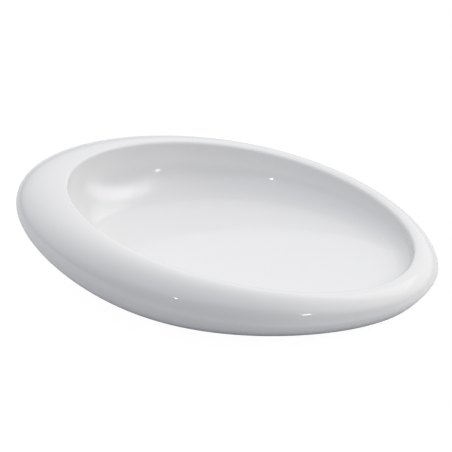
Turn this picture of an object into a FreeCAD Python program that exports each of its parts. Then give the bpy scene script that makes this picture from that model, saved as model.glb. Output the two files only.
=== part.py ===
import FreeCAD, Part
import Sketcher
import math
import os
from FreeCAD import Vector

# Oval soap dish with a thick rolled rim, high at one end and low at the other.
# A hollow gloss moulding is closed from below by a flat cover on four rubber feet.
# Millimetres, +Z up. X runs along the dish from its high end (-X) to its low end (+X).
# The origin is on the standing surface, under the middle of the rim's widest line.

os.makedirs("parts", exist_ok=True)
document = FreeCAD.newDocument("soap_dish")
sheet = document.addObject("Spreadsheet::Sheet", "dims")

sizes = [
    ("recess_half_length", 58.4, "lip of the recess, half its length"),
    ("recess_half_width", 44.9, "lip of the recess, half its width"),
    ("lip_end_taper", 6.8, "how much fuller the lip is at the low end, along"),
    ("lip_side_taper", 5.0, "the same, across"),
    ("lip_end_square", 2.0, "squareness of the lip, along"),
    ("lip_side_square", 1.2, "squareness of the lip, across"),
    ("high_end_rim", 17.8, "width of the rim at the high end"),
    ("low_end_rim", 8.2, "width of the rim at the low end"),
    ("side_rim", 11.2, "width of the rim at the sides"),
    ("rim_end_taper", -2.0, "taper of the rim's widest line, along"),
    ("rim_side_taper", -1.8, "the same, across"),
    ("rim_end_square", 1.4, "squareness of the rim's widest line, along"),
    ("rim_side_square", 0.8, "the same, across"),
    ("high_end_tuck", 36.0, "how far the base lies inside the rim at the high end"),
    ("low_end_tuck", 7.0, "the same at the low end"),
    ("side_tuck", 16.1, "the same at the sides"),
    ("base_end_taper", -0.5, "taper of the base outline, along"),
    ("base_side_taper", -3.7, "the same, across"),
    ("lip_rise", 13.8, "height of the lip over the recess floor at mid length"),
    ("lip_fall", 7.8, "what the lip loses from mid length to the low end"),
    ("lip_bow", 1.1, "droop of the lip at both ends"),
    ("girth_height", 13.6, "height of the rim's widest line over the base, at the sides"),
    ("girth_fall", 6.9, "what the widest line loses to the low end"),
    ("girth_bow", -1.2, "droop of the widest line at both ends; less than 0 lifts them"),
    ("bowl_inset", 8.0, "how far the curved wall runs in from the lip to the flat floor"),
    ("bowl_inset_gain_share", 0.26, "what that gains with the height of the wall"),
    ("wall_straight", 1.0, "upright part of the wall, under the lip"),
    ("lip_round", 1.0, "radius of the lip"),
    ("wall", 2.6, "wall of the moulding"),
    ("crown_extra", 0.6, "extra wall over the hollow, along the top of the rim"),
    ("landing", 2.2, "flat ring of the base round the cover"),
    ("ledge", 2.6, "step that the cover bears on"),
    ("ledge_thickness", 1.8, "the same, in height"),
    ("cover_thickness", 2.0, "base cover"),
    ("cover_gap", 0.2, "clearance round the cover"),
    ("under_floor_gap", 3.8, "space between the cover and the recess floor"),
    ("seal_inset", 0.7, "distance of the seal from the edge of the ledge"),
    ("seal_width", 1.2, "seal, across"),
    ("seal_height", 0.9, "seal, up into its groove"),
    ("peg_diameter", 3.4, "locating peg of the cover"),
    ("peg_clearance", 0.1, "round a peg in its socket"),
    ("peg_tip_gap", 0.4, "over the tip of a peg"),
    ("socket_wall", 1.7, "wall of a peg socket"),
    ("peg_foot_gap", 0.5, "between a peg socket and the boss of a foot's seat, along"),
    ("peg_side_gap", 9.7, "between a peg socket and the ledge, across"),
    ("rib_thickness", 1.6, "stiffening rib under the recess floor"),
    ("rib_gap", 0.2, "between a rib or socket and the cover"),
    ("long_rib_gap", 6.1, "between the end of a long rib and the ledge"),
    ("cross_rib_gap", 9.2, "the same for the cross rib"),
    ("foot_diameter", 10.0, "rubber foot"),
    ("foot_stand", 0.8, "what a foot stands out of the cover"),
    ("foot_recess", 1.2, "depth of the foot's seat in the cover"),
    ("foot_clearance", 0.2, "round a foot in its seat"),
    ("foot_edge", 0.4, "radius of the foot's lower edge"),
    ("foot_gap", 0.463, "between the boss of a foot's seat and the ledge"),
    ("foot_turn_share", 0.50282, "place of a foot round the base, of the quarter turn from its end"),
    ("seat_wall", 1.8, "boss round a foot's seat, inside the cover"),
    ("seat_rise", 1.0, "height of that boss over the cover"),
    ("overrun", 1.0, "how far a cutting shape runs past a face"),
    ("top_fullness_share", 0.55, "roundness of the rim above its widest line"),
    ("top_fullness_swing_share", -0.05, "what that gains at the low end and loses at the high end"),
    ("low_fullness_share", 0.15, "roundness below the widest line, at the low end"),
    ("low_fullness_gain_share", 0.16, "what that gains by the high end"),
    ("low_fullness_sides_share", 0.11, "what it gains at the sides as well"),
]
for row, (alias, value, note) in enumerate(sizes, start=1):
    sheet.set("A%d" % row, note)
    sheet.set("B%d" % row, str(value))
    sheet.setAlias("B%d" % row, alias)
document.recompute()


def size(alias):
    return float(sheet.get(alias))


# Plan outlines
class Outline:
    """A closed plan curve in the angle t, which is 0 at the low end:
    x = middle + half_length cos t + end_taper (cos 2t - 1) + end_square (cos 3t - cos t)
    y = half_width sin t + side_taper sin 2t + side_square sin 3t"""

    def __init__(self, middle, half_length, half_width, end_taper, side_taper,
                 end_square=0.0, side_square=0.0):
        self.middle = middle
        self.half_length = half_length
        self.half_width = half_width
        self.end_taper = end_taper
        self.side_taper = side_taper
        self.end_square = end_square
        self.side_square = side_square

    def point(self, turn, outward=0.0):
        """The point at an angle, moved outward at a right angle to the curve."""
        x = self.middle + self.half_length * math.cos(turn) + self.end_taper * (math.cos(2 * turn) - 1)
        x += self.end_square * (math.cos(3 * turn) - math.cos(turn))
        y = self.half_width * math.sin(turn) + self.side_taper * math.sin(2 * turn)
        y += self.side_square * math.sin(3 * turn)
        slope_x = -self.half_length * math.sin(turn) - 2 * self.end_taper * math.sin(2 * turn)
        slope_x += self.end_square * (math.sin(turn) - 3 * math.sin(3 * turn))
        slope_y = self.half_width * math.cos(turn) + 2 * self.side_taper * math.cos(2 * turn)
        slope_y += 3 * self.side_square * math.cos(3 * turn)
        length = math.hypot(slope_x, slope_y)
        return x + outward * slope_y / length, y - outward * slope_x / length


outline_points = 48
turns = [2 * math.pi * place / outline_points for place in range(outline_points)]

lip = Outline((size("high_end_rim") - size("low_end_rim")) / 2, size("recess_half_length"),
              size("recess_half_width"), size("lip_end_taper"), size("lip_side_taper"),
              size("lip_end_square"), size("lip_side_square"))
girth = Outline(0.0, lip.half_length + (size("high_end_rim") + size("low_end_rim")) / 2,
                lip.half_width + size("side_rim"), size("rim_end_taper"), size("rim_side_taper"),
                size("rim_end_square"), size("rim_side_square"))
base = Outline((size("high_end_tuck") - size("low_end_tuck")) / 2,
               girth.half_length - (size("high_end_tuck") + size("low_end_tuck")) / 2,
               girth.half_width - size("side_tuck"), size("base_end_taper"), size("base_side_taper"))

# Heights over the standing surface
base_level = size("foot_stand")
ledge_level = base_level + size("cover_thickness")
floor_underside = ledge_level + size("under_floor_gap")
floor_level = floor_underside + size("wall")


def wall_height(turn):
    along = (lip.point(turn)[0] - lip.middle) / lip.half_length
    return size("lip_rise") - size("lip_fall") * along - size("lip_bow") * along ** 2


def lip_level(turn):
    return floor_level + wall_height(turn)


def bowl_edge(turn):
    """How far the flat floor's edge lies inside the lip, as an outward distance."""
    return -size("bowl_inset") - size("bowl_inset_gain_share") * (wall_height(turn) - size("lip_rise"))


def girth_level(turn):
    return (base_level + size("girth_height") - size("girth_fall") * math.cos(turn)
            - size("girth_bow") * math.cos(2 * turn))


def top_fullness(turn):
    return size("top_fullness_share") + size("top_fullness_swing_share") * math.cos(turn)


def low_fullness(turn):
    return (size("low_fullness_share") + size("low_fullness_gain_share") * (1 - math.cos(turn)) / 2
            + size("low_fullness_sides_share") * (1 - math.cos(2 * turn)) / 2)


# Share of a corner's legs that a cubic arc's handles take to make a quarter circle
round_share = 4 / 3 * (math.sqrt(2) - 1)


# Surfaces between closed rings
def ring(outline, level, outward=0.0):
    """The outline's points. The level and the outward distance are numbers or functions of the angle."""
    points = []
    for turn in turns:
        x, y = outline.point(turn, outward(turn) if callable(outward) else outward)
        points.append(Vector(x, y, level(turn) if callable(level) else level))
    return points


def handles(end, corner, share):
    """The ring that lies a share of the way from an end ring to a corner ring."""
    points = []
    for turn, start, target in zip(turns, end, corner):
        part = share(turn) if callable(share) else share
        points.append(start + (target - start) * part)
    return points


def closed_curve(points):
    """A smooth closed curve through the points, in even steps of its parameter."""
    curve = Part.BSplineCurve()
    steps = [place / len(points) for place in range(len(points) + 1)]
    curve.interpolate(Points=points, PeriodicFlag=True, Parameters=steps)
    return curve


def ring_wire(points):
    """The closed curve as two edges that meet at the ends of the dish."""
    curve = closed_curve(points)
    return Part.Wire([curve.toShape(0.0, 0.5), curve.toShape(0.5, 1.0)])


def band(first, last, corner=None, share=round_share):
    """Two faces, one on each side of the dish, from the first ring to the last.
    They are straight in section, or bend round a corner ring as full as the share says."""
    rows = [first, last]
    if corner is not None:
        rows = [first, handles(first, corner, share), handles(last, corner, share), last]
    curves = [closed_curve(points) for points in rows]
    degree = len(rows) - 1
    poles = [list(row) for row in zip(*[curve.getPoles() for curve in curves])]
    surface = Part.BSplineSurface()
    surface.buildFromPolesMultsKnots(poles, curves[0].getMultiplicities(), [degree + 1, degree + 1],
                                     curves[0].getKnots(), [0.0, 1.0], True, False,
                                     curves[0].Degree, degree)
    faces = []
    for start, end in ((0.0, 0.5), (0.5, 1.0)):
        half = surface.copy()
        half.segment(start, end, 0.0, 1.0)
        faces.append(half.toShape())
    return faces


def closed_solid(faces, first_ring, last_ring):
    """Sews the bands and a flat face over each end ring into one solid."""
    caps = [Part.Face(ring_wire(points)) for points in (first_ring, last_ring)]
    shell = Part.Shell(faces + caps)
    shell.sewShape()
    solid = Part.Solid(shell)
    if solid.Volume < 0:
        solid.reverse()
    return solid


def plate(outline, outward, bottom, top):
    """A flat plate of the outline's shape."""
    low_ring = ring(outline, bottom, outward)
    high_ring = ring(outline, top, outward)
    return closed_solid(band(low_ring, high_ring), low_ring, high_ring)


def feature(name, shape):
    """A document object that carries a shape made here."""
    holder = document.addObject("Part::Feature", name)
    holder.Shape = shape
    return holder


# Outside of the moulding, from the recess floor over the lip and round the rim to the base
def moulding_outside():
    def wall_top_level(turn):
        return lip_level(turn) - size("lip_round")

    floor_edge = ring(lip, floor_level, bowl_edge)
    floor_corner = ring(lip, floor_level)
    wall_bottom = ring(lip, lambda turn: wall_top_level(turn) - size("wall_straight"))
    wall_top = ring(lip, wall_top_level)
    lip_corner = ring(lip, lip_level)
    crest = ring(lip, lip_level, size("lip_round"))
    crest_corner = ring(girth, lip_level)
    widest = ring(girth, girth_level)
    base_corner = ring(girth, base_level)
    base_edge = ring(base, base_level)
    faces = band(floor_edge, wall_bottom, floor_corner)
    faces += band(wall_bottom, wall_top)
    faces += band(wall_top, crest, lip_corner)
    faces += band(crest, widest, crest_corner, top_fullness)
    faces += band(widest, base_edge, base_corner, low_fullness)
    return closed_solid(faces, floor_edge, base_edge)


# Hollow inside the moulding, one wall in from the outside, open downwards inside the ledge
def moulding_hollow():
    wall = size("wall")

    def crown_level(turn):
        return lip_level(turn) - wall - size("crown_extra")

    ledge_edge = -size("landing") - size("ledge")
    under_edge = ring(lip, floor_underside, bowl_edge)
    under_corner = ring(lip, floor_underside, wall)
    wall_bottom = ring(lip, lambda turn: crown_level(turn) - size("wall_straight"), wall)
    wall_top = ring(lip, crown_level, wall)
    crown_corner = ring(girth, crown_level, -wall)
    widest = ring(girth, girth_level, -wall)
    low_corner = ring(girth, base_level + wall, -wall)
    low_edge = ring(base, base_level + wall)
    ledge_top = ledge_level + size("ledge_thickness")
    step = ring(base, ledge_top, -size("landing"))
    opening = ring(base, ledge_top, ledge_edge)
    opening_below = ring(base, ledge_level - size("overrun"), ledge_edge)
    faces = band(under_edge, wall_bottom, under_corner)
    faces += band(wall_bottom, wall_top)
    faces += band(wall_top, widest, crown_corner, top_fullness)
    faces += band(widest, low_edge, low_corner, low_fullness)
    faces += band(low_edge, step)
    faces += band(step, opening)
    faces += band(opening, opening_below)
    return closed_solid(faces, under_edge, opening_below)


def groove_ring(bottom, top):
    """The closed ring in which the seal lies."""
    outer_edge = -size("landing") - size("seal_inset")
    inner_edge = outer_edge - size("seal_width")
    inner = plate(base, inner_edge, bottom - size("overrun"), top + size("overrun"))
    return plate(base, outer_edge, bottom, top).cut(inner)


def corners(prefix):
    """The four places of a set of pegs or feet, as a name and two signs."""
    places = []
    for across, side in ((-1, "front"), (1, "back")):
        for along, end in ((-1, "left"), (1, "right")):
            places.append(("%s_%s_%s" % (prefix, side, end), along, across))
    return places


# Formulas that the sub-parts share: reach of the base, and the radius of a socket and of a foot's boss
base_middle = "(dims.high_end_tuck - dims.low_end_tuck) / 2"
girth_reach = "(dims.recess_half_length + (dims.high_end_rim + dims.low_end_rim) / 2)"
base_reach = "(%s - (dims.high_end_tuck + dims.low_end_tuck) / 2)" % girth_reach
base_breadth = "(dims.recess_half_width + dims.side_rim - dims.side_tuck)"
to_ledge = "(dims.landing + dims.ledge)"
post_radius = "(dims.peg_diameter / 2 + dims.peg_clearance + dims.socket_wall)"
boss_radius = "(dims.foot_diameter / 2 + dims.foot_clearance + dims.seat_wall)"

# A foot's place on the base outline drawn in by the ledge and the boss, at the narrower low end;
# the high end mirrors it
foot_turn = "(dims.foot_turn_share * 90 deg)"
foot_inset = "(%s + %s + dims.foot_gap)" % (to_ledge, boss_radius)
foot_along = "((%s - %s) * cos(%s) + dims.base_end_taper * (cos(2 * %s) - 1))" % (
    base_reach, foot_inset, foot_turn, foot_turn)
foot_across = "((%s - %s) * sin(%s) + dims.base_side_taper * sin(2 * %s))" % (
    base_breadth, foot_inset, foot_turn, foot_turn)

# Pegs keep clear of the feet and the ledge, long ribs of the bosses
peg_along = "(%s - %s - %s - dims.peg_foot_gap)" % (foot_along, boss_radius, post_radius)
peg_across = "(%s - %s - %s - dims.peg_side_gap)" % (base_breadth, to_ledge, post_radius)
long_rib_across = "(%s - %s - dims.rib_gap - dims.rib_thickness / 2)" % (foot_across, boss_radius)
long_rib_length = "(2 * (%s - %s - dims.long_rib_gap))" % (base_reach, to_ledge)
cross_rib_length = "(2 * (%s - %s - dims.cross_rib_gap))" % (base_breadth, to_ledge)


def cylinder(name, radius, height, level, along, across):
    """A round solid, bound to the sheet, at a place round the middle of the base."""
    solid = document.addObject("Part::Cylinder", name)
    solid.setExpression("Radius", radius)
    solid.setExpression("Height", height)
    solid.setExpression("Placement.Base.x", "%s + (%s)" % (base_middle, along))
    solid.setExpression("Placement.Base.y", across)
    solid.setExpression("Placement.Base.z", level)
    return solid


def rib(name, length, width, along, across):
    """A rib that hangs from the recess floor, almost down to the cover."""
    solid = document.addObject("Part::Box", name)
    solid.setExpression("Length", length)
    solid.setExpression("Width", width)
    solid.setExpression("Height", "dims.under_floor_gap - dims.rib_gap + dims.wall / 2")
    solid.setExpression("Placement.Base.x", "%s + (%s) - (%s) / 2" % (base_middle, along, length))
    solid.setExpression("Placement.Base.y", "(%s) - (%s) / 2" % (across, width))
    solid.setExpression("Placement.Base.z", "dims.foot_stand + dims.cover_thickness + dims.rib_gap")
    return solid


def peg_place(along, across):
    return "%d * %s" % (along, peg_along), "%d * %s" % (across, peg_across)


def foot_place(along, across):
    return "%d * %s" % (along, foot_along), "%d * %s" % (across, foot_across)


def fused(name, pieces):
    union = document.addObject("Part::MultiFuse", name)
    union.Shapes = pieces
    return union


def cut(name, solid, tool):
    result = document.addObject("Part::Cut", name)
    result.Base = solid
    result.Tool = tool
    return result


# Dish shell: the upper moulding with its sockets and ribs
def dish_shell():
    outside = feature("moulding_outside", moulding_outside())
    hollow = feature("moulding_hollow", moulding_hollow())
    seat = feature("cover_seat", plate(base, -size("landing"), base_level - size("overrun"), ledge_level))
    seal_top = ledge_level + size("seal_height")
    groove = feature("seal_groove", groove_ring(ledge_level - size("overrun"), seal_top))
    casing = cut("casing", outside, fused("casing_tools", [hollow, seat, groove]))
    level = "dims.foot_stand + dims.cover_thickness + dims.rib_gap"
    posts = []
    bores = []
    for name, along, across in corners("socket"):
        x, y = peg_place(along, across)
        posts.append(cylinder(name + "_post", post_radius,
                              "dims.under_floor_gap - dims.rib_gap + dims.wall / 2", level, x, y))
        bores.append(cylinder(name + "_bore", "dims.peg_diameter / 2 + dims.peg_clearance",
                              "dims.under_floor_gap - dims.rib_gap + dims.overrun",
                              level + " - dims.overrun", x, y))
    ribs = []
    for name, side in (("front", -1), ("back", 1)):
        across = "%d * %s" % (side, long_rib_across)
        ribs.append(rib("long_rib_" + name, long_rib_length, "dims.rib_thickness", "0", across))
    ribs.append(rib("cross_rib", "dims.rib_thickness", cross_rib_length, "0", "0"))
    moulded = fused("moulding", [casing] + posts + ribs)
    shell = cut("dish_shell", moulded, fused("socket_bores", bores))
    shell.Label = "dish_shell"
    return shell


# Base cover: closes the hollow, carries the pegs and holds the feet
def base_cover():
    sheet_edge = -size("landing") - size("cover_gap")
    blank = feature("cover_blank", plate(base, sheet_edge, base_level, ledge_level))
    pieces = [blank]
    seats = []
    for name, along, across in corners("peg"):
        x, y = peg_place(along, across)
        pieces.append(cylinder(name, "dims.peg_diameter / 2",
                               "dims.cover_thickness / 2 + dims.under_floor_gap - dims.peg_tip_gap",
                               "dims.foot_stand + dims.cover_thickness / 2", x, y))
    for name, along, across in corners("seat"):
        x, y = foot_place(along, across)
        pieces.append(cylinder(name + "_boss", boss_radius, "dims.cover_thickness / 2 + dims.seat_rise",
                               "dims.foot_stand + dims.cover_thickness / 2", x, y))
        seats.append(cylinder(name + "_recess", "dims.foot_diameter / 2 + dims.foot_clearance",
                              "dims.foot_recess + dims.overrun", "dims.foot_stand - dims.overrun", x, y))
    cover = cut("base_cover", fused("cover_moulding", pieces), fused("foot_seats", seats))
    cover.Label = "base_cover"
    return cover


# Seal: a soft ring between the ledge and the cover
def seam_seal():
    seal = feature("seam_seal", groove_ring(ledge_level, ledge_level + size("seal_height")))
    seal.Label = "seam_seal"
    return seal


# Feet: rubber discs turned from half a section, each with a rounded lower edge
def foot(name, along, across):
    body = document.addObject("PartDesign::Body", name)
    plane = [part for part in body.Origin.OriginFeatures if part.Role == "XZ_Plane"][0]
    section = body.newObject("Sketcher::SketchObject", name + "_section")
    section.AttachmentSupport = [(plane, "")]
    section.MapMode = "FlatFace"
    radius = size("foot_diameter") / 2
    height = size("foot_stand") + size("foot_recess")
    edge = size("foot_edge")
    middle = Vector(0, 0, 0)
    sole = Vector(radius - edge, 0, 0)
    side = Vector(radius, edge, 0)
    shoulder = Vector(radius, height, 0)
    summit = Vector(0, height, 0)
    corner = Part.Circle(Vector(radius - edge, edge, 0), Vector(0, 0, 1), edge)
    section.addGeometry(Part.LineSegment(middle, sole))
    section.addGeometry(Part.ArcOfCircle(corner, -math.pi / 2, 0))
    section.addGeometry(Part.LineSegment(side, shoulder))
    section.addGeometry(Part.LineSegment(shoulder, summit))
    section.addGeometry(Part.LineSegment(summit, middle))
    section.addConstraint(Sketcher.Constraint("Coincident", 0, 1, -1, 1))
    section.addConstraint(Sketcher.Constraint("Tangent", 0, 2, 1, 1))
    section.addConstraint(Sketcher.Constraint("Tangent", 1, 2, 2, 1))
    section.addConstraint(Sketcher.Constraint("Coincident", 2, 2, 3, 1))
    section.addConstraint(Sketcher.Constraint("Coincident", 3, 2, 4, 1))
    section.addConstraint(Sketcher.Constraint("Coincident", 4, 2, 0, 1))
    section.addConstraint(Sketcher.Constraint("Horizontal", 0))
    section.addConstraint(Sketcher.Constraint("Horizontal", 3))
    section.addConstraint(Sketcher.Constraint("Vertical", 4))
    bound = (("edge", Sketcher.Constraint("Radius", 1, edge), "dims.foot_edge"),
             ("radius", Sketcher.Constraint("DistanceX", 4, 1, 3, 1, radius), "dims.foot_diameter / 2"),
             ("height", Sketcher.Constraint("DistanceY", 4, 2, 4, 1, height),
              "dims.foot_stand + dims.foot_recess"))
    for label, constraint, formula in bound:
        place = section.addConstraint(constraint)
        section.renameConstraint(place, label)
        section.setExpression("Constraints." + label, formula)
    turned = body.newObject("PartDesign::Revolution", name + "_turned")
    turned.Profile = section
    turned.ReferenceAxis = (section, ["V_Axis"])
    turned.Angle = 360
    body.Tip = turned
    x, y = foot_place(along, across)
    body.setExpression("Placement.Base.x", "%s + (%s)" % (base_middle, x))
    body.setExpression("Placement.Base.y", y)
    body.Label = name
    return body


pieces = [dish_shell(), base_cover(), seam_seal()]
pieces += [foot(name, along, across) for name, along, across in corners("foot")]
document.recompute()

failed = [item.Name for item in document.Objects if "Invalid" in item.State or "Error" in item.State]
if failed:
    raise RuntimeError("these features did not recompute: %s" % failed)
for piece in pieces:
    if piece.Shape.isNull() or not piece.Shape.isValid():
        raise RuntimeError("%s has no valid shape" % piece.Label)
for piece in pieces:
    piece.Shape.exportStep("parts/%s.step" % piece.Label)
    box = piece.Shape.BoundBox
    print("%-18s %8.1f mm3, %d solid, x %.2f to %.2f, y %.2f to %.2f, z %.2f to %.2f"
          % (piece.Label, piece.Shape.Volume, len(piece.Shape.Solids),
             box.XMin, box.XMax, box.YMin, box.YMax, box.ZMin, box.ZMax))
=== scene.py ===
import math

import bpy
import numpy as np
from mathutils import Matrix, Vector


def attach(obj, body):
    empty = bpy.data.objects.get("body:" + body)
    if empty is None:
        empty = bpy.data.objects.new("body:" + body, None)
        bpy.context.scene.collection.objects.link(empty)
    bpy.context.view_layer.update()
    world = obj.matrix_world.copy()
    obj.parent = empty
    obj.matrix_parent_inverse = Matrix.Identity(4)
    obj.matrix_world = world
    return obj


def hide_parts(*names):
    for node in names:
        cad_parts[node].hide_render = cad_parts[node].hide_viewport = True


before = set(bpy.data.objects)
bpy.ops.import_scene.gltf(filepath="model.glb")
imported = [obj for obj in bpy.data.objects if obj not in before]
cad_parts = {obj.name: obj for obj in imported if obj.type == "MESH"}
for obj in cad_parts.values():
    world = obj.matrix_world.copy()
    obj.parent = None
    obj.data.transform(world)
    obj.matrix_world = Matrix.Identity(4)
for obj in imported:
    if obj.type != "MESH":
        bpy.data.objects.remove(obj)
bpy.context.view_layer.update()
millimetre = 0.001
print("frame loaded:", len(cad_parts), "nodes")

# Heights over the table and plan sizes of the moulding, in millimetres.
# The angle t runs round the dish: 0 is the low end, a quarter turn later the back.
dish = {
    "recessHalfLength": 58.4,
    "recessHalfWidth": 44.9,
    "lipEndTaper": 6.8,
    "lipSideTaper": 5.0,
    "lipEndSquare": 2.0,
    "lipSideSquare": 1.2,
    "highEndRim": 17.8,
    "lowEndRim": 8.2,
    "sideRim": 11.2,
    "rimEndTaper": -2.0,
    "rimSideTaper": -1.8,
    "rimEndSquare": 1.4,
    "rimSideSquare": 0.8,
    "highEndTuck": 36.0,
    "lowEndTuck": 7.0,
    "sideTuck": 16.1,
    "baseEndTaper": -0.5,
    "baseSideTaper": -3.7,
    "baseLevel": 0.8,
    "floorUnderside": 6.6,
    "floorLevel": 9.2,
    "lipRise": 13.8,
    "lipFall": 7.8,
    "lipBow": 1.1,
    "girthHeight": 13.6,
    "girthFall": 6.9,
    "girthBow": -1.2,
    "bowlInset": 8.0,
    "bowlInsetGain": 0.26,
    "wallStraight": 1.0,
    "lipRound": 1.0,
    "wall": 2.6,
    "crownExtra": 0.6,
    "landing": 2.2,
    "landingRound": 0.2,
    "ledgeLevel": 2.8,
    "ledge": 2.6,
    "ledgeThickness": 1.8,
    "sealInset": 0.7,
    "sealWidth": 1.2,
    "sealHeight": 0.9,
    "ribBottom": 3.0,
    "ribThickness": 1.6,
    "longRibLength": 78.0,
    "longRibSpacing": 16.0,
    "crossRibLength": 52.0,
    "socketBore": 1.8,
    "socketRadius": 3.5,
    "socketSpacingLength": 32.0,
    "socketSpacingWidth": 44.0,
    "socketSides": 48,
    "topFullness": 0.55,
    "topFullnessSwing": -0.05,
    "lowFullness": 0.15,
    "lowFullnessGain": 0.16,
    "lowFullnessSides": 0.11,
    "quarterRound": 0.5523,  # handles that make a cubic arc a quarter circle
    "poleShare": 0.06,  # where the flat floor's last ring lies between its pole and its edge
    "anglesRound": 320,
    "crispAngle": 30,
}
turns = np.linspace(0, 2 * math.pi, dish["anglesRound"], endpoint=False)


# x = middle + length cos t + endTaper (cos 2t - 1) + endSquare (cos 3t - cos t)
# y = width sin t + sideTaper sin 2t + sideSquare sin 3t, then moved outward at a right angle
def planCurve(plan, outward=0.0):
    middle, length, width, endTaper, sideTaper, endSquare, sideSquare = plan
    x = middle + length * np.cos(turns) + endTaper * (np.cos(2 * turns) - 1)
    x = x + endSquare * (np.cos(3 * turns) - np.cos(turns))
    y = width * np.sin(turns) + sideTaper * np.sin(2 * turns) + sideSquare * np.sin(3 * turns)
    slopeX = -length * np.sin(turns) - 2 * endTaper * np.sin(2 * turns)
    slopeX = slopeX + endSquare * (np.sin(turns) - 3 * np.sin(3 * turns))
    slopeY = width * np.cos(turns) + 2 * sideTaper * np.cos(2 * turns)
    slopeY = slopeY + 3 * sideSquare * np.cos(3 * turns)
    size = np.hypot(slopeX, slopeY)
    return x + outward * slopeY / size, y - outward * slopeX / size


# One ring of points: the plan curve at a level, which is a number or one level per angle
def ring(plan, level, outward=0.0):
    x, y = planCurve(plan, outward)
    return np.stack([x, y, level + 0 * x], axis=1)


# Rings from one ring to another along a straight line; each has its share of the way
def straight(first, last, steps=1):
    share = np.linspace(0, 1, steps + 1)[1:, None, None]
    return first + share * (last - first)


# Rings from one ring to another along a cubic arc that leaves and arrives towards the corner ring;
# the fullness is how much of the way to the corner its handles take
def rounded(first, corner, last, fullness, steps):
    fullness = np.broadcast_to(fullness, (len(first),))[:, None]
    leave = first + fullness * (corner - first)
    arrive = last + fullness * (corner - last)
    share = np.linspace(0, 1, steps + 1)[1:, None, None]
    back = 1 - share
    leaving = back ** 3 * first + 3 * back ** 2 * share * leave
    return leaving + 3 * back * share ** 2 * arrive + share ** 3 * last


# Points and faces of a skin through rings, closed by a pole at each end, or on itself without poles
def skin(rings, firstPole=None, lastPole=None):
    rows, across = rings.shape[:2]
    points = rings.reshape(-1, 3)
    here = np.arange(rows * across).reshape(rows, across)
    if firstPole is None:
        here = np.vstack([here, here[:1]])
    after = np.roll(here, -1, axis=1)
    faces = np.stack([here[:-1], here[1:], after[1:], after[:-1]], axis=-1).reshape(-1, 4).tolist()
    if firstPole is not None:
        points = np.vstack([points, firstPole, lastPole])
        faces += np.stack([here[0], after[0], 0 * here[0] + len(points) - 2], axis=1).tolist()
        faces += np.stack([after[-1], here[-1], 0 * here[0] + len(points) - 1], axis=1).tolist()
    return points, faces


# An upright tube, from its inner and outer radius; its four corner circles close on themselves
def tube(x, y, bottom, top, inner, outer):
    angles = np.linspace(0, 2 * math.pi, dish["socketSides"], endpoint=False)
    circle = np.stack([np.cos(angles), np.sin(angles), 0 * angles], axis=1)
    corners = [(outer, top), (outer, bottom), (inner, bottom), (inner, top)]
    rings = np.stack([circle * (radius, radius, 0) + (x, y, level) for radius, level in corners])
    return skin(rings)


# An upright-sided block
def block(low, high):
    places = [(x, y, z) for z in (low[2], high[2]) for x, y in
              ((low[0], low[1]), (high[0], low[1]), (high[0], high[1]), (low[0], high[1]))]
    sides = [[side, (side + 1) % 4, (side + 1) % 4 + 4, side + 4] for side in range(4)]
    return np.array(places), sides + [[3, 2, 1, 0], [4, 5, 6, 7]]


# One object from skins and blocks in millimetres; edges sharper than the crisp angle stay crisp
def solid(name, parts):
    points = np.vstack([places for places, faces in parts])
    starts = np.cumsum([0] + [len(places) for places, faces in parts])
    faces = [[corner + int(start) for corner in face]
             for (places, faceList), start in zip(parts, starts) for face in faceList]
    mesh = bpy.data.meshes.new(name)
    mesh.from_pydata((points * millimetre).tolist(), [], faces)
    mesh.update()
    mesh.shade_smooth()
    mesh.set_sharp_from_angle(angle=math.radians(dish["crispAngle"]))
    piece = bpy.data.objects.new(name, mesh)
    bpy.context.scene.collection.objects.link(piece)
    return piece


lipMiddle = (dish["highEndRim"] - dish["lowEndRim"]) / 2
girthLength = dish["recessHalfLength"] + (dish["highEndRim"] + dish["lowEndRim"]) / 2
girthWidth = dish["recessHalfWidth"] + dish["sideRim"]
baseMiddle = (dish["highEndTuck"] - dish["lowEndTuck"]) / 2
baseLength = girthLength - (dish["highEndTuck"] + dish["lowEndTuck"]) / 2
lipPlan = (lipMiddle, dish["recessHalfLength"], dish["recessHalfWidth"], dish["lipEndTaper"],
           dish["lipSideTaper"], dish["lipEndSquare"], dish["lipSideSquare"])
girthPlan = (0.0, girthLength, girthWidth, dish["rimEndTaper"], dish["rimSideTaper"],
             dish["rimEndSquare"], dish["rimSideSquare"])
basePlan = (baseMiddle, baseLength, girthWidth - dish["sideTuck"], dish["baseEndTaper"],
            dish["baseSideTaper"], 0.0, 0.0)


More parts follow.
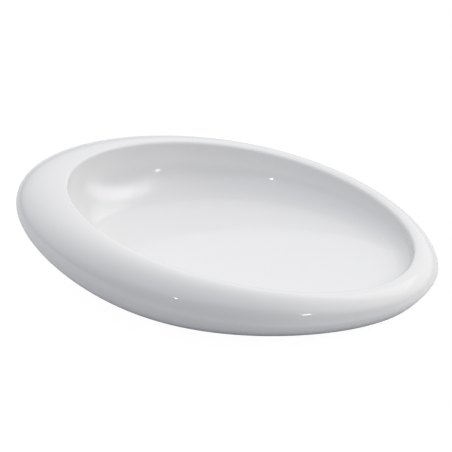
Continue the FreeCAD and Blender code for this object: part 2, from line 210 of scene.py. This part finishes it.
# The hollow moulding: floor, bowl wall, lip, rim, landing, cover seat, seal groove, ledge and inside,
# with the ribs and peg sockets under its floor. The wall's height falls along the dish in a shallow
# bow, and the widest line's level falls with cos t and bows with cos 2t.
def buildDish():
    along = (planCurve(lipPlan)[0] - lipMiddle) / dish["recessHalfLength"]
    wallHeight = dish["lipRise"] - dish["lipFall"] * along - dish["lipBow"] * along ** 2
    lipLevel = dish["floorLevel"] + wallHeight
    girthLevel = dish["baseLevel"] + dish["girthHeight"] - dish["girthFall"] * np.cos(turns)
    girthLevel = girthLevel - dish["girthBow"] * np.cos(2 * turns)
    bowlInset = dish["bowlInset"] + dish["bowlInsetGain"] * (wallHeight - dish["lipRise"])
    wallTopLevel = lipLevel - dish["lipRound"]
    topFullness = dish["topFullness"] + dish["topFullnessSwing"] * np.cos(turns)
    lowFullness = dish["lowFullness"] + dish["lowFullnessGain"] * (1 - np.cos(turns)) / 2
    lowFullness = lowFullness + dish["lowFullnessSides"] * (1 - np.cos(2 * turns)) / 2
    quarter = dish["quarterRound"]

    floorEdge = ring(lipPlan, dish["floorLevel"], -bowlInset)
    wallBottom = ring(lipPlan, wallTopLevel - dish["wallStraight"])
    wallTop = ring(lipPlan, wallTopLevel)
    crest = ring(lipPlan, lipLevel, dish["lipRound"])
    widest = ring(girthPlan, girthLevel)
    baseEdge = ring(basePlan, dish["baseLevel"])
    centre = np.array([lipMiddle, 0, dish["floorLevel"]])
    floorStart = centre + dish["poleShare"] * (floorEdge - centre)

    seatEdge = -dish["landing"]
    landingEdge = ring(basePlan, dish["baseLevel"], seatEdge + dish["landingRound"])
    seatBottom = ring(basePlan, dish["baseLevel"] + dish["landingRound"], seatEdge)
    grooveOut = seatEdge - dish["sealInset"]
    grooveIn = grooveOut - dish["sealWidth"]
    grooveTop = dish["ledgeLevel"] + dish["sealHeight"]
    ledgeEdge = seatEdge - dish["ledge"]
    ledgeTop = dish["ledgeLevel"] + dish["ledgeThickness"]
    stepPath = [(dish["ledgeLevel"], seatEdge), (dish["ledgeLevel"], grooveOut), (grooveTop, grooveOut),
                (grooveTop, grooveIn), (dish["ledgeLevel"], grooveIn), (dish["ledgeLevel"], ledgeEdge),
                (ledgeTop, ledgeEdge), (ledgeTop, seatEdge)]

    wall = dish["wall"]
    crownLevel = lipLevel - wall - dish["crownExtra"]
    hollowLevel = dish["baseLevel"] + wall
    hollowEdge = ring(basePlan, hollowLevel)
    hollowWidest = ring(girthPlan, girthLevel, -wall)
    hollowTop = ring(lipPlan, crownLevel, wall)
    hollowWallBottom = ring(lipPlan, crownLevel - dish["wallStraight"], wall)
    underEdge = ring(lipPlan, dish["floorUnderside"], -bowlInset)
    underCentre = np.array([lipMiddle, 0, dish["floorUnderside"]])
    underStart = underCentre + dish["poleShare"] * (underEdge - underCentre)

    rings = np.concatenate([
        floorStart[None],
        straight(floorStart, floorEdge, 16),
        rounded(floorEdge, ring(lipPlan, dish["floorLevel"]), wallBottom, quarter, 40),
        straight(wallBottom, wallTop, 2),
        rounded(wallTop, ring(lipPlan, lipLevel), crest, quarter, 10),
        rounded(crest, ring(girthPlan, lipLevel), widest, topFullness, 48),
        rounded(widest, ring(girthPlan, dish["baseLevel"]), baseEdge, lowFullness, 48),
        straight(baseEdge, landingEdge, 2),
        rounded(landingEdge, ring(basePlan, dish["baseLevel"], seatEdge), seatBottom, quarter, 4),
        np.stack([ring(basePlan, level, outward) for level, outward in stepPath]),
        hollowEdge[None],
        rounded(hollowEdge, ring(girthPlan, hollowLevel, -wall), hollowWidest, lowFullness, 24),
        rounded(hollowWidest, ring(girthPlan, crownLevel, -wall), hollowTop, topFullness, 24),
        straight(hollowTop, hollowWallBottom),
        rounded(hollowWallBottom, ring(lipPlan, dish["floorUnderside"], wall), underEdge, quarter, 20),
        straight(underEdge, underStart, 3),
    ])
    parts = [skin(rings, centre, underCentre)]

    bottom = dish["ribBottom"]
    top = dish["floorUnderside"] + wall / 2  # ribs and sockets end inside the floor's thickness
    half = dish["ribThickness"] / 2
    for side in (-1, 1):
        y = side * dish["longRibSpacing"] / 2
        reach = dish["longRibLength"] / 2
        parts.append(block((baseMiddle - reach, y - half, bottom), (baseMiddle + reach, y + half, top)))
        for end in (-1, 1):
            parts.append(tube(baseMiddle + end * dish["socketSpacingLength"] / 2,
                              side * dish["socketSpacingWidth"] / 2, bottom, top,
                              dish["socketBore"], dish["socketRadius"]))
    reach = dish["crossRibLength"] / 2
    parts.append(block((baseMiddle - half, -reach, bottom), (baseMiddle + half, reach, top)))
    return solid("dishBody", parts)


dishBody = buildDish()
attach(dishBody, "root")
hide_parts("dish_shell")
print("dish built:", len(dishBody.data.polygons), "faces")


# A shader value: arithmetic on it adds Math nodes to its graph
class Value:
    def __init__(self, graph, socket):
        self.graph = graph
        self.socket = socket

    def math(self, operation, *others):
        inputs = {0: self}
        inputs.update({place + 1: other for place, other in enumerate(others)})
        return self.graph.value("ShaderNodeMath", {"operation": operation}, inputs)

    def __add__(self, other):
        return self.math("ADD", other)

    def __radd__(self, other):
        return self.math("ADD", other)

    def __sub__(self, other):
        return self.math("SUBTRACT", other)

    def __rsub__(self, other):
        return self.math("MULTIPLY", -1).math("ADD", other)

    def __mul__(self, other):
        return self.math("MULTIPLY", other)

    def __rmul__(self, other):
        return self.math("MULTIPLY", other)

    # 0 below the low edge, 1 above the high edge, smooth between them
    def rise(self, low, high):
        inputs = {"Value": self, "From Min": low, "From Max": high}
        return self.graph.value("ShaderNodeMapRange", {"interpolation_type": "SMOOTHSTEP"}, inputs)


# Adds nodes to a node tree; inputs are sockets by name or place, each with a constant or a value
class Graph:
    def __init__(self, owner):
        owner.use_nodes = True
        self.tree = owner.node_tree
        self.tree.nodes.clear()

    def node(self, kind, settings, inputs):
        made = self.tree.nodes.new(kind)
        for name, setting in settings.items():
            setattr(made, name, setting)
        for place, given in inputs.items():
            if isinstance(given, Value):
                self.tree.links.new(given.socket, made.inputs[place])
            else:
                made.inputs[place].default_value = given
        return made

    def value(self, kind, settings, inputs, output=0):
        return Value(self, self.node(kind, settings, inputs).outputs[output])

    # How far a point or direction lies along an axis
    def along(self, place, axis):
        inputs = {0: place, 1: axis}
        return self.value("ShaderNodeVectorMath", {"operation": "DOT_PRODUCT"}, inputs, "Value")

    def noise(self, place, scale, detail=2.0):
        return self.value("ShaderNodeTexNoise", {}, {"Vector": place, "Scale": scale, "Detail": detail})

    def mixed(self, share, first, second):
        return self.value("ShaderNodeMix", {"data_type": "RGBA"}, {0: share, 6: first, 7: second}, 2)

    def bump(self, height, depth):
        return self.value("ShaderNodeBump", {}, {"Height": height, "Distance": depth, "Strength": 1.0})

    def finish(self, kind, surface):
        self.node(kind, {}, {"Surface": surface})


# Noise scales count waves to the metre, and depths are in metres
gloss = {
    "dark": (0.827, 0.826, 0.828, 1),
    "pale": (0.834, 0.833, 0.835, 1),
    "cloudScale": 28.0,
    "roughness": 0.05,
    "roughnessSwing": 0.03,
    "waveScale": 70.0,
    "waveDepth": 0.00001,
}


# Gloss white moulded plastic: an even cool white whose gloss varies a little from place to place,
# with the very shallow waves of a moulded skin
def glossPlastic():
    material = bpy.data.materials.new("glossWhitePlastic")
    graph = Graph(material)
    place = graph.value("ShaderNodeTexCoord", {}, {}, "Object")
    cloud = graph.noise(place, gloss["cloudScale"])
    waves = graph.noise(place, gloss["waveScale"], 1.0)
    graph.finish("ShaderNodeOutputMaterial", graph.value("ShaderNodeBsdfPrincipled", {}, {
        "Base Color": graph.mixed(cloud, gloss["dark"], gloss["pale"]),
        "Roughness": gloss["roughness"] + gloss["roughnessSwing"] * cloud,
        "IOR": 1.5,
        "Normal": graph.bump(waves, gloss["waveDepth"]),
    }))
    return material


coverPlastic = {
    "dark": (0.71, 0.715, 0.72, 1),
    "pale": (0.73, 0.735, 0.74, 1),
    "cloudScale": 40.0,
    "grainScale": 2600.0,
    "grainDetail": 3.0,
    "roughness": 0.42,
    "roughnessSwing": 0.12,
    "grainDepth": 0.00003,
}
footRubber = {
    "dark": (0.59, 0.59, 0.59, 1),
    "pale": (0.65, 0.65, 0.65, 1),
    "cloudScale": 160.0,
    "grainScale": 1500.0,
    "grainDetail": 4.0,
    "roughness": 0.65,
    "roughnessSwing": 0.2,
    "grainDepth": 0.00006,
}
sealSilicone = {**footRubber, "dark": (0.40, 0.41, 0.42, 1), "pale": (0.44, 0.45, 0.46, 1)}


# Matt moulded plastic, rubber or silicone: a fine grain that roughens the skin, over faint clouds
def grained(name, finish):
    material = bpy.data.materials.new(name)
    graph = Graph(material)
    place = graph.value("ShaderNodeTexCoord", {}, {}, "Object")
    grain = graph.noise(place, finish["grainScale"], finish["grainDetail"])
    cloud = graph.noise(place, finish["cloudScale"])
    graph.finish("ShaderNodeOutputMaterial", graph.value("ShaderNodeBsdfPrincipled", {}, {
        "Base Color": graph.mixed(cloud, finish["dark"], finish["pale"]),
        "Roughness": finish["roughness"] + finish["roughnessSwing"] * grain,
        "Normal": graph.bump(grain, finish["grainDepth"]),
    }))
    return material


dishBody.data.materials.append(glossPlastic())
feetMaterial = grained("footRubber", footRubber)
carried = {
    "base_cover": grained("mattWhitePlastic", coverPlastic),
    "seam_seal": grained("sealSilicone", sealSilicone),
    "foot_front_left": feetMaterial,
    "foot_front_right": feetMaterial,
    "foot_back_left": feetMaterial,
    "foot_back_right": feetMaterial,
}
for name, material in carried.items():
    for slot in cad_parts[name].material_slots:
        slot.material = material
print("finishes done")

# The floor's numbers are in metres, and the sky's lean, full and side numbers in unit directions
studio = {
    "eye": (292.716, -723.594, 399.452),  # millimetres
    "aim": (-2.457, 6.214, 13.634),  # millimetres
    "lens": 210.68,
    "floorReach": 3.0,
    "floorGrey": (0.77, 0.78, 0.80, 1),
    # painted shade: near-black floor colour in front of the dish, for light bounced off the floor only
    "floorPaintedShade": (0.02, 0.02, 0.02, 1),
    "floorPaintedShadeFrom": -0.100,  # along the view, in front of the dish
    "floorPaintedShadeTo": -0.085,
    "floorSeen": (0.78, 0.78, 0.78, 1),
    "floorWhite": 1.03,
    "floorWhiteShare": 0.95,
    "skyWhite": (0.819, 0.823, 0.838, 1),
    "skyRight": (0.82, 0.79, 0.722, 1),
    "skyFront": (0.2, 0.22, 0.3, 1),
    "skyLean": 0.2,
    "skyFull": 0.5,
    "sideFrom": 0.1,
    "sideFull": 0.9,
    "boxDistance": 2.0,
}
scene = bpy.context.scene
scene.view_settings.view_transform = "Standard"

eye = Vector(studio["eye"]) * millimetre
aim = Vector(studio["aim"]) * millimetre
away = Vector((aim.x - eye.x, aim.y - eye.y, 0)).normalized()
right = Vector((away.y, -away.x, 0))
up = Vector((0, 0, 1))

# The table: white to the camera with a little of the dish's shadow, pale grey to the dish, and in
# front of it a painted shade, near black and seen by the dish only, that darkens its lower front
floorMesh = bpy.data.meshes.new("tableTop")
reach = studio["floorReach"]
floorMesh.from_pydata([(-reach, -reach, 0), (reach, -reach, 0), (reach, reach, 0), (-reach, reach, 0)],
                      [], [(0, 1, 2, 3)])
tableTop = bpy.data.objects.new("tableTop", floorMesh)
scene.collection.objects.link(tableTop)
whiteTable = bpy.data.materials.new("whiteTable")
graph = Graph(whiteTable)
place = graph.value("ShaderNodeTexCoord", {}, {}, "Object")
# Painted shade: in front of the dish, the floor's colour for bounced light fades to near black
near = graph.along(place, away).rise(studio["floorPaintedShadeFrom"], studio["floorPaintedShadeTo"])
bouncedColour = graph.mixed(near, studio["floorPaintedShade"], studio["floorGrey"])
bounced = graph.value("ShaderNodeBsdfDiffuse", {}, {"Color": bouncedColour})
plain = graph.value("ShaderNodeBsdfDiffuse", {}, {"Color": studio["floorSeen"]})
shine = graph.value("ShaderNodeEmission", {}, {"Strength": studio["floorWhite"]})
seen = graph.value("ShaderNodeMixShader", {}, {0: studio["floorWhiteShare"], 1: plain, 2: shine})
cameraRay = graph.value("ShaderNodeLightPath", {}, {}, "Is Camera Ray")
graph.finish("ShaderNodeOutputMaterial",
             graph.value("ShaderNodeMixShader", {}, {0: cameraRay, 1: bounced, 2: seen}))
floorMesh.materials.append(whiteTable)

# The studio round the dish: white above and behind it, darker low down on the camera's side, with
# more light from the right and a little cool light from the camera's side; plain white to the camera
world = bpy.data.worlds.new("studio")
scene.world = world
graph = Graph(world)
direction = graph.value("ShaderNodeTexCoord", {}, {}, "Generated")
height = graph.along(direction, up)
side = graph.along(direction, right)
sky = (height + studio["skyLean"] * graph.along(direction, away)).rise(0.0, studio["skyFull"])
toRight = side.rise(studio["sideFrom"], studio["sideFull"])
toCamera = (-1 * graph.along(direction, away)).rise(studio["sideFrom"], studio["sideFull"])


def background(colour, strength):
    return graph.value("ShaderNodeBackground", {}, {"Color": colour, "Strength": strength})


def added(first, second):
    return graph.value("ShaderNodeAddShader", {}, {0: first, 1: second})


studioLight = added(background(studio["skyWhite"], sky),
                    added(background(studio["skyRight"], sky * toRight),
                          background(studio["skyFront"], sky * toCamera)))
cameraRay = graph.value("ShaderNodeLightPath", {}, {}, "Is Camera Ray")
graph.finish("ShaderNodeOutputWorld", graph.value("ShaderNodeMixShader", {}, {
    0: cameraRay, 1: studioLight, 2: background((1, 1, 1, 1), 1)}))


# A direction from its azimuth, counted to the right from straight away from the camera, and its
# rise over the table, both in degrees
def towards(azimuth, rise):
    turn = math.radians(azimuth)
    tilt = math.radians(rise)
    return (away * math.cos(turn) + right * math.sin(turn)) * math.cos(tilt) + up * math.sin(tilt)


# A rectangular lamp of a breadth and height in metres and an energy in watts
def rectangularLamp(name, breadth, tall, energy):
    data = bpy.data.lights.new(name, "AREA")
    data.shape = "RECTANGLE"
    data.size = breadth
    data.size_y = tall
    data.energy = energy
    lamp = bpy.data.objects.new(name, data)
    scene.collection.objects.link(lamp)
    return lamp


# A broad lamp round the dish, which fills the rise from low to high and an angle across
def softbox(name, azimuth, low, high, acrossAngle, radiance):
    middle = (low + high) / 2
    direction = towards(azimuth, middle)
    distance = studio["boxDistance"]
    breadth = 2 * distance * math.tan(math.radians(acrossAngle / 2)) * math.cos(math.radians(middle))
    tall = 2 * distance * math.tan(math.radians((high - low) / 2))
    lamp = rectangularLamp(name, breadth, tall, radiance * math.pi * breadth * tall)
    lamp.location = direction * distance
    lamp.rotation_euler = direction.to_track_quat("Z", "Y").to_euler()


# A small lamp whose narrow beam meets one place of the dish, given in millimetres: its direction
# from there in degrees, its breadth and height in millimetres, the opening of its beam in degrees
# and its distance in metres; its breadth lies level, or along the given line
def beam(name, place, azimuth, rise, breadth, tall, opening, energy, distance, line=None):
    direction = towards(azimuth, rise)
    across = Vector(line) if line else Vector((-direction.y, direction.x, 0))
    across = (across - direction * across.dot(direction)).normalized()
    lamp = rectangularLamp(name, breadth * millimetre, tall * millimetre, energy)
    lamp.data.spread = math.radians(opening)
    lamp.location = Vector(place) * millimetre + direction * distance
    lamp.rotation_euler = Matrix((across, direction.cross(across), direction)).transposed().to_euler()


softbox("backBox", 0, 21, 33, 60, 0.05)
softbox("rightBackBox", 55, 34, 60, 50, 0.92)

# Catch lights on the back wall and along the front of the rim, and the glow on the left wall
beam("catchLeftWall", (-36.8, 29.4, 18.0), 145.6, 7.4, 16, 2.5, 6, 0.000012, 0.3)
beam("catchBackWall", (-1.0, 43.4, 14.8), 209.4, 19.8, 8, 6, 5, 0.000013, 0.4)
beam("catchFrontLeft", (5.1, -54.4, 17.5), 211.0, 18.0, 10, 8, 8, 0.00003, 0.4)
beam("catchFrontRight", (44.0, -42.1, 13.5), 154.8, 17.6, 18, 4, 12, 0.000043, 0.2)
beam("wallGlow", (-47.0, 14.1, 14.0), 70, 45, 22, 1.5, 1, 0.00007, 0.3, (12, 20, -14))

cameraData = bpy.data.cameras.new("camera")
cameraData.lens = studio["lens"]
camera = bpy.data.objects.new("camera", cameraData)
camera.location = eye
camera.rotation_euler = (aim - eye).to_track_quat("-Z", "Y").to_euler()
scene.collection.objects.link(camera)
scene.camera = camera
print("studio done")
